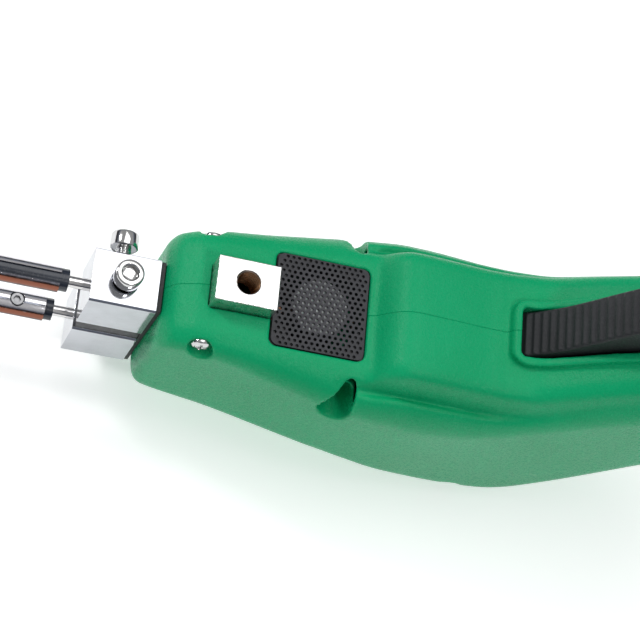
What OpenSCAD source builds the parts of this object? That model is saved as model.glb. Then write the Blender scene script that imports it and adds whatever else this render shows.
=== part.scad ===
// Hand-held hot knife with a forced-air cooled nose, a bent grip and a paddle trigger.
// +X runs from the blade toward the tail, +Y is the left side, +Z is the trigger side.
// The origin is the centre of the mouth of the threaded hole in the guide block.
// The build frame used inside the modules starts at the front faces of the terminal
// blocks, on the split plane and level with their insulator.  All sizes are in mm.

/* [Terminal blocks] */
// length of one terminal block along the tool
block_l = 16.4; // [12:0.1:22]
// width of one terminal block across the tool
block_w = 13.9; // [10:0.1:18]
// height of one terminal block
block_h = 16.2; // [12:0.1:20]
// insulated gap between the two blocks
block_gap = 4.7; // [3:0.1:8]
// bevel on the long edges of the blocks
block_bevel = 0.5; // [0.2:0.1:1.5]
// diameter of a clamp screw head
clamp_head_d = 7; // [6:0.1:8.5]
// height of a clamp screw head
clamp_head_h = 4; // [3:0.1:5]
// thread diameter of the clamp screws
clamp_d = 4; // [3:0.5:5]
// width across flats of the clamp screw socket
clamp_socket = 3.6; // [2.5:0.1:4.5]
// gap left under the top clamp screw head
clamp_lift = 1.1; // [0.2:0.1:3]
// gap left under the side clamp screw head
side_lift = 3.3; // [0.5:0.1:5]

/* [Arms and blade] */
// diameter of the arm rods gripped by the blocks
rod_d = 3; // [2:0.1:5]
// outer diameter of the arm tubes
tube_d = 6.5; // [5:0.1:8]
// diameter of the dark sleeve between rod and tube
sleeve_d = 5.6; // [4:0.1:7]
// length of the arm tubes
tube_l = 27; // [18:0.5:40]
// width of the long slot in each arm tube
tube_slot = 2.8; // [1:0.1:4]
// thickness of the cutting strip
blade_t = 1; // [0.6:0.1:2]
// width of the cutting strip
blade_w = 4; // [3:0.1:6]
// length of the free part of the cutting strip
blade_l = 48; // [30:1:90]

/* [Guide block and vent] */
// length of the threaded guide block
guide_l = 15.4; // [12:0.1:20]
// width of the threaded guide block
guide_w = 11.3; // [8:0.1:14]
// height the guide block stands above the vent face
guide_rise = 5.5; // [3:0.1:8]
// diameter of the threaded hole in the guide block
guide_bore = 6; // [5:0.5:8]
// side of the square vent screen
vent_size = 24.4; // [20:0.1:32]
// spacing of the holes in the vent screen
vent_pitch = 2.4; // [1.4:0.1:3]
// diameter of the holes in the vent screen
vent_hole = 1.3; // [0.7:0.1:2]

/* [Fan] */
// side of the square fan frame
fan_size = 23.8; // [20:0.1:30]
// thickness of the fan frame
fan_t = 6; // [5:0.5:9]
// diameter of the fan hub
fan_hub_d = 14.4; // [8:0.2:16]
// number of fan blades
fan_blades = 7; // [5:1:11]

/* [Housing] */
// wall thickness of the housing
wall = 2.4; // [1.6:0.1:3.5]
// half width of the raised centre band
band_half = 17.3; // [14:0.1:19]
// height of the vent face above the centre axis
face_z = 26.4; // [22:0.1:30]
// bend of the grip toward the trigger side, in degrees
grip_tilt = 38; // [20:1:45]
// diameter of the housing screw recesses
recess_d = 7.8; // [6:0.1:10]
// thread diameter of the housing screws
case_screw_d = 3; // [2.5:0.1:4]

/* [Trigger] */
// width of the trigger paddle
paddle_w = 11.6; // [9:0.1:13]
// spacing of the grip ribs on the paddle
rib_pitch = 2.2; // [1.6:0.1:4]
// diameter of the trigger pivot pin
pivot_d = 3; // [2:0.1:4]
// side gap between paddle and housing
paddle_gap = 0.5; // [0.3:0.1:1]

/* [Mains parts] */
// length of the transformer core along the tool
core_l = 26; // [20:0.5:32]
// height of the transformer core
core_h = 32; // [26:0.5:38]
// stack thickness of the transformer core
core_w = 18; // [12:0.5:24]
// bore of the cord inlet
inlet_d = 7; // [5:0.1:9]

/* [Hidden] */
$fn = 64;
eps = 0.01;
fit = 0.05;
slip = 0.02;
HULL_FN = 32;
BLOCK_Z = block_gap / 2 + block_h / 2;
TOP_Z = block_gap / 2 + block_h;
NOSE_X = block_l + 1.2;
GUIDE_X = NOSE_X + 9.8;
GUIDE_TOP = face_z + guide_rise;
GUIDE_BOTTOM = face_z - 2.6;
VENT_X = GUIDE_X + guide_l + 0.4;
FAN_X = VENT_X + vent_size / 2 - 0.4;
FAN_TOP = face_z - 0.8;
GRIP = [122.8, 14.7];
GRIP_END = 85;
CORE_X = 73;
CORE_Z = 2;
STRAP_END = CORE_X - 1;
PADDLE_FRONT = 104.5;
PADDLE_REAR = 60;
PIVOT = [-3, 20];
SWITCH_S = 44;
SWITCH_TOP = 15;
SKIN = 0.02;
SET_X = -13.8;
SEAT = 13.6;

// Body stations: [x, z, tilt, half width, up, down, upper radius, lower radius].
NOSE_TIP = [NOSE_X, 0, 0, 13.6, 18.2, 16, 5, 8];
NOSE_CORNER = [NOSE_X + 2.4, 0, 0, 15, 22.4, 18, 5, 9];
NOSE_TOP = [NOSE_X + 9, 0, 0, 16.1, face_z - 0.1, 18, 6, 9];
NOSE_MID = [37, 0, 0, 17.4, face_z, 18, 6.6, 9];
VENT_END = [68, 0, 0, 23.4, face_z, 18.3, 10, 9];
SHOULDER = [75, 0, 0, 24, 29.4, 20, 12.5, 9];
BELLY = [86, 0, 0, 24.4, 30, 24.4, 14.5, 10];
BEND_A = [100, 1, 4, 23.4, 29.4, 30.4, 14.5, 11];
BEND_B = [111.4, 5.7, 20, 22.4, 27, 38.8, 13.5, 11];
BEND_C = [GRIP[0], GRIP[1], 32, 20.8, 22.5, 34.5, 11, 11];
GRIP_A = [137.6, 26.2, grip_tilt, 19.8, 22.6, 27, 11, 11];
GRIP_B = [165, 47.6, grip_tilt, 18.5, 22, 21, 11, 11];
TAIL = [189.8, 67, grip_tilt, 17, 19.5, 18.5, 10, 10];

// Side positions and recess diameters [x, z, d] of the housing screws.
SCREWS_NOSE = [[27.4, 21.8, 6.2], [63.3, 16.2, recess_d], [46, -15.4, 6.2], [110, -24.5, 6.4]];
SCREWS_GRIP = [[74, 11.5, 6.4], [72, -11.5, 6.4]];

// Moves the build frame so that the mouth of the guide hole is the origin.
module datum() {
    translate([-GUIDE_X - guide_l / 2, 0, -GUIDE_TOP])
        children();
}

// Frame of the bent grip: local X runs down the grip, local Z points to the trigger side.
module grip_frame() {
    translate([GRIP[0], 0, GRIP[1]])
        rotate([0, -grip_tilt, 0])
            children();
}

// Four thin corner discs of one body station.
module station(s) {
    translate([s[0], 0, s[1]])
        rotate([0, -s[2], 0])
            for (side = [-1, 1]) {
                translate([0, side * (s[3] - s[6]), s[4] - s[6]])
                    rotate([0, 90, 0])
                        cylinder(h = SKIN, r = s[6], $fn = HULL_FN);
                translate([0, side * (s[3] - s[7]), s[7] - s[5]])
                    rotate([0, 90, 0])
                        cylinder(h = SKIN, r = s[7], $fn = HULL_FN);
            }
}

// Smooth outer body, built as seven blended lengths.
module outer_body() {
    hull() {
        station(NOSE_TIP);
        station(NOSE_CORNER);
        station(NOSE_TOP);
        station(NOSE_MID);
    }
    hull() {
        station(NOSE_MID);
        station(VENT_END);
    }
    hull() {
        station(VENT_END);
        station(SHOULDER);
        station(BELLY);
        station(BEND_A);
    }
    hull() {
        station(BEND_A);
        station(BEND_B);
    }
    hull() {
        station(BEND_B);
        station(BEND_C);
    }
    hull() {
        station(BEND_C);
        station(GRIP_A);
    }
    hull() {
        station(GRIP_A);
        station(GRIP_B);
        station(TAIL);
    }
}

// Point on the trigger side of the body at a height above a station axis.
function over(s, h) = [s[0] - h * sin(s[2]), s[1] + h * cos(s[2])];

// Raised centre band on the trigger side, from the vent to the tail.
module band() {
    crest = 33.6;
    line = [
        over(VENT_END, face_z), over(VENT_END, face_z + 0.1), [72.4, crest], [76, crest + 1.2],
        [79, crest + 1.5], [88, crest + 0.4], [100, crest - 0.2], [107, crest + 0.3],
        [111.5, crest + 2.6], [118, crest + 8.4], [123.5, crest + 13.6],
        over(GRIP_B, 23.8), over(TAIL, 20.4),
        over(TAIL, 8), over(GRIP_A, 10), over(BEND_C, 10), over(BEND_A, 14), over(VENT_END, 16)
    ];
    low = [
        for (i = [0 : len(line) - 1])
            i > 0 && i < 14 ? line[i] - [0, 1.4] : line[i]
    ];
    intersection() {
        union() {
            rotate([90, 0, 0])
                linear_extrude(height = 2 * band_half - 3, center = true)
                    polygon(line);
            rotate([90, 0, 0])
                linear_extrude(height = 2 * band_half, center = true)
                    polygon(low);
        }
        taper = 4;
        linear_extrude(height = 120)
            polygon([
                [60, band_half], [120, band_half], [190, band_half - taper],
                [190, taper - band_half], [120, -band_half], [60, -band_half]
            ]);
    }
}

// Solid lip that frames the trigger opening, with skirts that guide the paddle.
module trigger_lip() {
    lip = paddle_w / 2 + paddle_gap + 2.2;
    rear = PADDLE_REAR + 3.8;
    profile = [
        [101.4, 24], [101.4, 33], [102, 35.6], [103, 36.4], [107, 36.7], [111, 38.8],
        [116.8, 44.1], [122, 49.4], over(GRIP_B, 26.4), along(rear - 0.8, 26),
        along(rear, 25.2), along(rear, 14), along(0, 12)
    ];
    for (step = [0, 1])
        rotate([90, 0, 0])
            linear_extrude(height = 2 * lip - 1.2 * step, center = true)
                polygon([for (p = profile) p - [0, 0.8 * (1 - step)]]);
}

// Point of the grip frame given in the build frame.
function along(s, h) = [
    GRIP[0] + s * cos(grip_tilt) - h * sin(grip_tilt),
    GRIP[1] + s * sin(grip_tilt) + h * cos(grip_tilt)
];

// Room cut for the paddle.
module trigger_opening() {
    half = paddle_w / 2 + paddle_gap;
    translate([PADDLE_FRONT - 0.7, -half, 22])
        cube([10, 2 * half, 40]);
    grip_frame()
        translate([0, -half, 8])
            cube([PADDLE_REAR + 1.4, 2 * half, 44]);
}

// Hollow of the housing: a wide, low prism joined to a narrow, tall one.
module cavity() {
    side_inset = 9.5;
    edge_inset = 10.5;
    cavity_prism(wall, edge_inset);
    cavity_prism(side_inset, wall);
}

// One prism of the hollow with its side and edge insets.
module cavity_prism(side, edge) {
    inner = [NOSE_CORNER, NOSE_TOP, NOSE_MID, VENT_END, BELLY, BEND_A, BEND_B, BEND_C, GRIP_A, GRIP_B, TAIL];
    last = len(inner) - 1;
    back = cos(grip_tilt) * wall;
    upper = [for (i = [0 : last]) over(inner[i], inner[i][4] - edge) - (i == last ? [back, back] : [0, 0])];
    lower = [for (i = [0 : last]) over(inner[last - i], edge - inner[last - i][5]) - (i == 0 ? [back, back] : [0, 0])];
    plan = [for (i = [0 : last]) [inner[i][0] + (i == last ? 9 : 0), inner[i][3] - side]];
    mirror_plan = [for (i = [0 : last]) [plan[last - i][0], -plan[last - i][1]]];
    intersection() {
        rotate([90, 0, 0])
            linear_extrude(height = 60, center = true)
                polygon(concat(upper, lower));
        translate([0, 0, -60])
            linear_extrude(height = 200)
                polygon(concat(plan, mirror_plan));
    }
}

// Openings cut through both halves: nose slot, guide pocket, vent, trigger and inlet.
module openings() {
    nose_hole_w = 9;
    translate([NOSE_X - 1, -nose_hole_w / 2, -BLOCK_Z - 3])
        cube([wall + 4, nose_hole_w, 2 * BLOCK_Z + 6]);
    translate([GUIDE_X - slip, -guide_w / 2 - slip, GUIDE_BOTTOM - slip])
        cube([guide_l + 1, guide_w + 2 * slip, 10]);
    translate([FAN_X - fan_size / 2 - 0.3, -fan_size / 2 - 0.3, FAN_TOP - fan_t - slip])
        cube([fan_size + 0.6, fan_size + 0.6, 14]);
    trigger_opening();
    grip_frame()
        translate([GRIP_END - 12, 0, 0])
            rotate([0, 90, 0])
                cylinder(h = 30, d = inlet_d + 5);
}

// Screw bosses that meet at the split plane and carry the screw recesses.
module bosses() {
    for (p = SCREWS_NOSE)
        translate([p[0], 0, p[1]])
            boss(p[2]);
    grip_frame()
        for (p = SCREWS_GRIP)
            translate([p[0], 0, p[1]])
                boss(p[2]);
}

// One boss with a cup at each end for the recess.
module boss(recess) {
    boss_d = 5.2;
    cup_wall = 1.2;
    rotate([90, 0, 0])
        cylinder(h = 2 * SEAT, d = boss_d, center = true);
    for (side = [-1, 1])
        translate([0, side * (SEAT - cup_wall), 0])
            rotate([-side * 90, 0, 0])
                cylinder(h = 20, d = recess + 2 * cup_wall);
}

// Recesses and bores for the housing screws, cut along Y.
module screw_cuts() {
    for (p = SCREWS_NOSE)
        translate([p[0], 0, p[1]])
            screw_cut(p[2]);
    grip_frame()
        for (p = SCREWS_GRIP)
            translate([p[0], 0, p[1]])
                screw_cut(p[2]);
}

// Arched notch that opens the large recess up through the rounded shoulder.
module scoop() {
    rise = 7.6;
    peak_d = 2.6;
    lean = 0.6;
    for (side = [-1, 1])
        translate([SCREWS_NOSE[1][0], side * 16.4, SCREWS_NOSE[1][1]])
            rotate([-side * 90, 0, 0])
                linear_extrude(height = 12) {
                    polygon([
                        [-recess_d / 2, 0], [recess_d / 2, 0],
                        [lean + peak_d / 2, -side * rise], [lean - peak_d / 2, -side * rise]
                    ]);
                    translate([lean, -side * rise])
                        circle(d = peak_d);
                }
}

// One through bore with a recess at each end.
module screw_cut(recess) {
    rotate([90, 0, 0])
        cylinder(h = 60, d = case_screw_d + 2 * fit, center = true);
    for (side = [-1, 1])
        translate([0, side * SEAT, 0])
            rotate([-side * 90, 0, 0])
                cylinder(h = 20, d = recess);
}

// Inner ribs and ledges that carry the transformer, spring, switch and board.
module ribs() {
    rib_t = 2;
    ledge = 10;
    for (x = [CORE_X + rib_t, CORE_X + core_l - 2 * rib_t])
        translate([x, -24, CORE_Z - core_h / 2 - slip - ledge])
            cube([rib_t, 48, ledge]);
    grip_frame() {
        for (s = [24, 46, 66])
            translate([s, -22, -8 - slip - ledge])
                cube([rib_t, 44, ledge]);
        translate([10, -22, 8 - slip - rib_t])
            cube([14, 44, rib_t]);
        for (side = [0, 1])
            mirror([0, side, 0])
                translate([SWITCH_S - 6, 3.2 + slip, SWITCH_TOP - 8])
                    cube([12, 20, 4]);
    }
}

// Solid shell with every opening, before it is split.
module shell() {
    difference() {
        union() {
            difference() {
                union() {
                    outer_body();
                    band();
                    trigger_lip();
                }
                cavity();
            }
            intersection() {
                cavity();
                union() {
                    bosses();
                    ribs();
                }
            }
        }
        openings();
        screw_cuts();
        scoop();
        grip_frame()
            translate([PIVOT[0], 0, PIVOT[1]])
                rotate([90, 0, 0])
                    cylinder(h = pin_l() + 0.2, d = pivot_d + 2 * slip, center = true);
    }
}

// Length of the trigger pivot pin.
function pin_l() = paddle_w + 17;

module housing_left() {
    datum() color("seagreen")
        intersection() {
            shell();
            translate([0, 0, -80])
                cube([220, 40, 220]);
        }
}

module housing_right() {
    datum() color("seagreen")
        intersection() {
            shell();
            translate([0, -40 - slip, -80])
                cube([220, 40, 220]);
        }
}

module nose_seal() {
    seal_w = block_w - 0.8;
    seal_h = TOP_Z - 0.4;
    datum() color("black")
        difference() {
            translate([block_l + slip, -seal_w / 2, -seal_h])
                cube([NOSE_X - block_l - 2 * slip, seal_w, 2 * seal_h]);
            for (side = [-1, 1])
                translate([block_l - 1, -strap_w() / 2 - 0.2, side * BLOCK_Z - strap_t() / 2 - 0.2])
                    cube([4, strap_w() + 0.4, strap_t() + 0.4]);
        }
}

// Section of the copper straps that feed the blocks.
function strap_w() = 8;
function strap_t() = 3;

// Terminal block with its rod socket and the two tapped clamp holes.
module terminal_block() {
    outline = [
        [block_bevel - block_w / 2, -block_h / 2], [block_w / 2 - block_bevel, -block_h / 2],
        [block_w / 2, block_bevel - block_h / 2], [block_w / 2, block_h / 2 - block_bevel],
        [block_w / 2 - block_bevel, block_h / 2], [block_bevel - block_w / 2, block_h / 2],
        [-block_w / 2, block_h / 2 - block_bevel], [-block_w / 2, block_bevel - block_h / 2]
    ];
    difference() {
        rotate([90, 0, 90])
            linear_extrude(height = block_l)
                polygon(outline);
        translate([-1, 0, 0])
            rotate([0, 90, 0])
                cylinder(h = 14, d = rod_d + 2 * slip);
        translate([block_l / 2, 0, 0])
            cylinder(h = block_h, d = clamp_d + 2 * fit);
        translate([block_l / 2 - 0.6, 0, 2.2])
            rotate([-90, 0, 0])
                cylinder(h = block_w, d = clamp_d + 2 * fit);
    }
}

module block_upper() {
    datum() color("silver")
        translate([0, 0, BLOCK_Z])
            terminal_block();
}

module block_lower() {
    datum() color("silver")
        mirror([0, 0, 1])
            translate([0, 0, BLOCK_Z])
                terminal_block();
}

module block_insulator() {
    inset = 0.6;
    datum() color("dimgray")
        translate([inset, inset - block_w / 2, slip - block_gap / 2])
            cube([block_l - inset - slip, block_w - 2 * inset, block_gap - 2 * slip]);
}

// Socket cap screw with its head sitting on z = 0 and the shank pointing down.
module cap_screw(shank) {
    difference() {
        cylinder(h = clamp_head_h, d = clamp_head_d);
        translate([0, 0, clamp_head_h / 2])
            cylinder(h = clamp_head_h, d = clamp_socket / cos(30), $fn = 6);
    }
    translate([0, 0, -shank])
        cylinder(h = shank + eps, d = clamp_d);
}

module clamp_screws_face() {
    depth = block_h / 2 - rod_d / 2 - 0.1;
    datum() color("silver")
        for (side = [0, 1])
            mirror([0, 0, side])
                translate([block_l / 2, 0, TOP_Z + clamp_lift])
                    cap_screw(depth + clamp_lift);
}

module clamp_screws_side() {
    datum() color("silver")
        for (side = [0, 1])
            mirror([0, 0, side])
                translate([block_l / 2 - 0.6, block_w / 2 + side_lift, BLOCK_Z + 2.2])
                    rotate([-90, 0, 0])
                        cap_screw(block_w / 2 - clamp_d / 2 - 0.3 + side_lift);
}

// Rod held by one block.
module arm_rod() {
    translate([-16, 0, BLOCK_Z])
        rotate([0, 90, 0])
            cylinder(h = 28.8, d = rod_d);
}

module arm_rod_upper() {
    datum() color("silver")
        arm_rod();
}

module arm_rod_lower() {
    datum() color("silver")
        mirror([0, 0, 1])
            arm_rod();
}

// Dark ceramic sleeve around the rod.
module arm_sleeve() {
    translate([-26, 0, BLOCK_Z])
        rotate([0, 90, 0])
            difference() {
                cylinder(h = 21.5, d = sleeve_d);
                translate([0, 0, 9.9])
                    cylinder(h = 20, d = rod_d + 2 * slip);
                translate([0, 0, SET_X + 26])
                    rotate([0, 90, 0])
                        cylinder(h = 20, d = set_d() + 2 * fit);
            }
}

module arm_sleeve_upper() {
    datum() color("dimgray")
        arm_sleeve();
}

module arm_sleeve_lower() {
    datum() color("dimgray")
        mirror([0, 0, 1])
            arm_sleeve();
}

// Bright tube around the sleeve with a long slot on its outer side.
module arm_tube() {
    end = -6.6;
    slot_turn = 15;
    translate([end - tube_l, 0, BLOCK_Z])
        difference() {
            rotate([0, 90, 0])
                difference() {
                    cylinder(h = tube_l, d = tube_d);
                    translate([0, 0, tube_l - 19.4])
                        cylinder(h = tube_l, d = sleeve_d + 2 * slip);
                }
            translate([-1, -blade_t / 2 - slip, -blade_w / 2 - slip])
                cube([7.4, blade_t + 2 * slip, blade_w + 2 * slip]);
            rotate([slot_turn, 0, 0])
                translate([tube_l - 17, -tube_slot / 2, 0])
                    cube([20, tube_slot, tube_d]);
            translate([SET_X - end + tube_l, 0, -tube_d])
                cylinder(h = tube_d, d = set_d() + 0.6);
        }
}

module arm_tube_upper() {
    datum() color("silver")
        arm_tube();
}

module arm_tube_lower() {
    datum() color("silver")
        mirror([0, 0, 1])
            arm_tube();
}

// Thread diameter of the set screws.
function set_d() = 3.2;

// Small set screws that reach through each sleeve to its rod.
module arm_set_screws() {
    screw_l = 1.4;
    datum() color("gray")
        for (side = [0, 1])
            mirror([0, 0, side])
                translate([SET_X, 0, BLOCK_Z - rod_d / 2 - slip - screw_l])
                    difference() {
                        cylinder(h = screw_l, d = set_d());
                        translate([0, 0, -1])
                            cylinder(h = 1 + 0.8, d = 1.6 / cos(30), $fn = 6);
                    }
}

// Hairpin cutting strip whose ends sit in the arm tubes.
module blade() {
    back = -6.6 - tube_l + 6.2;
    knee = -6.6 - tube_l - 8;
    tip = knee - blade_l;
    half = blade_w / 2;
    datum() color("slategray")
        rotate([90, 0, 0])
            linear_extrude(height = blade_t, center = true)
                difference() {
                    polygon([
                        [back, BLOCK_Z + half], [knee, BLOCK_Z + half], [tip + 6, half + 1], [tip, 0],
                        [tip + 6, -half - 1], [knee, -BLOCK_Z - half], [back, -BLOCK_Z - half]
                    ]);
                    polygon([
                        [back + 1, BLOCK_Z - half], [knee + 1, BLOCK_Z - half], [tip + 9, 0.6],
                        [tip + 8, 0], [tip + 9, -0.6], [knee + 1, half - BLOCK_Z],
                        [back + 1, half - BLOCK_Z]
                    ]);
                }
}

module guide_block() {
    bevel = 0.3;
    datum() color("gainsboro")
        difference() {
            union() {
                translate([GUIDE_X, bevel - guide_w / 2, GUIDE_BOTTOM])
                    cube([guide_l, guide_w - 2 * bevel, GUIDE_TOP - GUIDE_BOTTOM]);
                translate([GUIDE_X, -guide_w / 2, GUIDE_BOTTOM + bevel])
                    cube([guide_l, guide_w, GUIDE_TOP - GUIDE_BOTTOM - 2 * bevel]);
            }
            translate([GUIDE_X + guide_l / 2, 0, GUIDE_BOTTOM - 1])
                cylinder(h = GUIDE_TOP - GUIDE_BOTTOM + 2, d = guide_bore);
        }
}

module vent_screen() {
    screen_t = 0.5;
    corner = 1.8;
    rows = floor((vent_size - 3) / (vent_pitch * sin(60)));
    cols = floor((vent_size - 3) / vent_pitch);
    datum() color("dimgray")
        translate([VENT_X + vent_size / 2, 0, face_z - 0.1 - screen_t])
            difference() {
                translate([-0.4, 0, 0])
                    linear_extrude(height = screen_t)
                        offset(r = corner)
                            square([vent_size - 0.8 - 2 * corner, vent_size - 0.4 - 2 * corner], center = true);
                for (j = [0 : rows - 1])
                    for (i = [0 : cols - 1 - j % 2])
                        translate([
                            (i - (cols - 1) / 2 + (j % 2) / 2) * vent_pitch - 0.4,
                            (j - (rows - 1) / 2) * vent_pitch * sin(60), -1
                        ])
                            cylinder(h = 3, d = vent_hole);
            }
}

module fan_frame() {
    bore = fan_size - 1.8;
    datum() color("dimgray")
        translate([FAN_X, 0, FAN_TOP - fan_t]) {
            difference() {
                translate([-fan_size / 2, -fan_size / 2, 0])
                    cube([fan_size, fan_size, fan_t]);
                translate([0, 0, -1])
                    cylinder(h = fan_t + 2, d = bore);
            }
            for (a = [30, 150, 270])
                rotate([0, 0, a])
                    translate([0, -0.9, 0])
                        cube([bore / 2 + 0.3, 1.8, 1]);
            cylinder(h = 1, d = fan_hub_d);
            cylinder(h = 3.2, d = 1.5);
        }
}

module fan_rotor() {
    tip = fan_size / 2 - 1.7;
    rotor_h = 4;
    datum() color("dimgray")
        translate([FAN_X, 0, FAN_TOP - fan_t + 1.4]) {
            difference() {
                cylinder(h = rotor_h, d = fan_hub_d);
                translate([0, 0, -1])
                    cylinder(h = 3.2, d = 1.5 + 2 * fit);
            }
            for (i = [0 : fan_blades - 1])
                rotate([0, 0, i * 360 / fan_blades])
                    translate([fan_hub_d / 2 - 0.5, 0, rotor_h / 2])
                        rotate([35, 0, 0])
                            translate([0, -0.35, -2])
                                cube([tip - fan_hub_d / 2 + 0.2, 0.7, 4]);
        }
}

// Copper strap from one block back to the transformer.
module strap() {
    translate([block_l + slip, -strap_w() / 2, BLOCK_Z - strap_t() / 2])
        cube([STRAP_END - block_l, strap_w(), strap_t()]);
}

module strap_upper() {
    datum() color("peru")
        strap();
}

module strap_lower() {
    datum() color("peru")
        mirror([0, 0, 1])
            strap();
}

module transformer_core() {
    leg = 5;
    slot_l = core_l - 2 * leg;
    slot_h = (core_h - 4 * leg) / 2;
    datum() color("darkgray")
        translate([CORE_X, -core_w / 2, CORE_Z - core_h / 2])
            difference() {
                cube([core_l, core_w, core_h]);
                for (z = [leg, core_h - leg - slot_h])
                    translate([leg, -1, z])
                        cube([slot_l, core_w + 2, slot_h]);
            }
}

module transformer_coil() {
    leg = 5;
    gap = 0.3;
    slot_l = core_l - 2 * leg;
    slot_h = (core_h - 4 * leg) / 2;
    coil_w = core_w + 2 * slot_h;
    coil_h = 2 * leg + 2 * slot_h;
    datum() color("peru")
        translate([CORE_X + leg + gap, 0, CORE_Z])
            difference() {
                translate([0, -coil_w / 2, gap - coil_h / 2])
                    cube([slot_l - 2 * gap, coil_w, coil_h - 2 * gap]);
                translate([-1, -core_w / 2 - gap, -leg - gap])
                    cube([slot_l + 2, core_w + 2 * gap, 2 * leg + 2 * gap]);
            }
}

// Easing curve between 0 and 1.
function ease(t) = let (u = min(max(t, 0), 1)) u * u * (3 - 2 * u);

// Height of the ribbed face of the paddle in the grip frame.
function paddle_top(s) = 26.6 + 14 * ease((s + 3) / 45) - 0.06 * pow(max(s - 48, 0), 2);

module trigger() {
    front = [[-9.3, 18.2], [-2.4, 26.6]];
    top = [for (s = [0 : 3 : PADDLE_REAR - 3]) [s, paddle_top(s)]];
    rear = PADDLE_REAR;
    tail = [
        [rear - 0.8, 33], [rear, 30.5], [rear, 19.4], [8, 19.4], [3, 16.6], [-6, 16.6]
    ];
    datum() color("black")
        grip_frame()
            difference() {
                union() {
                    rotate([90, 0, 0])
                        linear_extrude(height = paddle_w, center = true)
                            polygon(concat(front, top, tail));
                    for (s = [-1 : rib_pitch : PADDLE_REAR - 6])
                        translate([s, 0, paddle_top(s) - 0.3])
                            rotate([90, 0, 0])
                                cylinder(h = paddle_w - 1, d = 1.3, center = true);
                }
                translate([PIVOT[0], 0, PIVOT[1]])
                    rotate([90, 0, 0])
                        cylinder(h = 30, d = pivot_d + 2 * fit, center = true);
                translate([10, 1.6 - paddle_w / 2, 10])
                    cube([46, paddle_w - 3.2, 12.4]);
            }
}

module trigger_pin() {
    datum() color("silver")
        grip_frame()
            translate([PIVOT[0], 0, PIVOT[1]])
                rotate([90, 0, 0])
                    cylinder(h = pin_l(), d = pivot_d, center = true);
}

// Bent leaf that pushes the paddle outward.
module return_spring() {
    t = 0.5;
    datum() color("silver")
        grip_frame()
            rotate([90, 0, 0])
                linear_extrude(height = 5, center = true)
                    polygon([
                        [10, 8], [26, 8], [29, 10], [16, 20.6], [14, 21.9], [12, 21.9],
                        [12, 21.9 - t], [13.8, 21.9 - t], [28, 10], [25.8, 8 + t], [10, 8 + t]
                    ]);
}

module switch_body() {
    l = 20;
    w = 6.4;
    h = 10;
    datum() color("dimgray")
        grip_frame()
            difference() {
                translate([SWITCH_S - l / 2, -w / 2, SWITCH_TOP - h])
                    cube([l, w, h]);
                for (s = [-4.8, 4.8])
                    translate([SWITCH_S + s, 0, SWITCH_TOP - h + 3])
                        rotate([90, 0, 0])
                            cylinder(h = 20, d = 2.4, center = true);
                translate([SWITCH_S, 0, SWITCH_TOP - 6])
                    cylinder(h = 10, d = 2.4 + 2 * fit);
            }
}

module switch_plunger() {
    datum() color("firebrick")
        grip_frame()
            translate([SWITCH_S, 0, SWITCH_TOP - 1.6])
                cylinder(h = 8.4, d = 2.4);
}

module switch_tabs() {
    datum() color("goldenrod")
        grip_frame()
            for (s = [-7, 0, 7])
                translate([SWITCH_S + s - 0.4, -1.6, SWITCH_TOP - 14 - slip])
                    cube([0.8, 3.2, 4]);
}

module circuit_board() {
    datum() color("darkgreen")
        grip_frame() {
            difference() {
                translate([18, -9, -8])
                    cube([38, 18, 1.6]);
                for (s = [21, 53])
                    for (y = [-6, 6])
                        translate([s, y, -9])
                            cylinder(h = 4, d = 2.2);
            }
            translate([26, -4, -6.4 - eps])
                cylinder(h = 9, d = 8);
            translate([34, -6, -6.4 - eps])
                cube([4, 12, 5]);
            for (y = [-5, 0, 5])
                translate([42, y, -5.2])
                    rotate([0, 90, 0])
                        cylinder(h = 7, d = 2.4 + eps);
        }
}

module mains_terminal() {
    datum() color("ivory")
        grip_frame()
            difference() {
                translate([59, -9, -8])
                    cube([11, 18, 9]);
                for (y = [-4.5, 4.5]) {
                    translate([58, y, -3])
                        rotate([0, 90, 0])
                            cylinder(h = 14, d = 3.4);
                    translate([64.5, y, -1])
                        cylinder(h = 6, d = 3);
                }
            }
}

// Cord inlet: a flanged ring in the tail wall.
module cord_inlet() {
    datum() color("black")
        grip_frame()
            translate([GRIP_END - 1.4, 0, 0])
                rotate([0, 90, 0])
                    rotate_extrude()
                        polygon([
                            [inlet_d / 2, -3.4], [inlet_d / 2 + 4.6, -3.4], [inlet_d / 2 + 4.6, -1.4],
                            [inlet_d / 2 + 2.4, -1.4], [inlet_d / 2 + 2.4, 1.6],
                            [inlet_d / 2 + 4.2, 1.6], [inlet_d / 2 + 3.4, 3.4], [inlet_d / 2, 3.4]
                        ]);
}

// Housing screw with its recessed head on the right side.
module case_screw() {
    rotate([90, 0, 0]) {
        translate([0, 0, -10])
            cylinder(h = SEAT + 10, d = case_screw_d);
        translate([0, 0, SEAT + slip - eps])
            difference() {
                cylinder(h = 2, d = 5.4);
                translate([0, 0, 0.8])
                    cylinder(h = 3, d = 2.6 / cos(30), $fn = 6);
            }
    }
}

module case_screws() {
    datum() color("gray") {
        for (p = SCREWS_NOSE)
            translate([p[0], 0, p[1]])
                case_screw();
        grip_frame()
            for (p = SCREWS_GRIP)
                translate([p[0], 0, p[1]])
                    case_screw();
    }
}

housing_left();
housing_right();
nose_seal();
block_upper();
block_lower();
block_insulator();
clamp_screws_face();
clamp_screws_side();
arm_rod_upper();
arm_rod_lower();
arm_sleeve_upper();
arm_sleeve_lower();
arm_tube_upper();
arm_tube_lower();
arm_set_screws();
blade();
guide_block();
vent_screen();
fan_frame();
fan_rotor();
strap_upper();
strap_lower();
transformer_core();
transformer_coil();
trigger();
trigger_pin();
return_spring();
switch_body();
switch_plunger();
switch_tabs();
circuit_board();
mains_terminal();
cord_inlet();
case_screws();
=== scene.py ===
import math
import bmesh
import bpy
import numpy as np
from mathutils import Matrix, Vector


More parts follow.
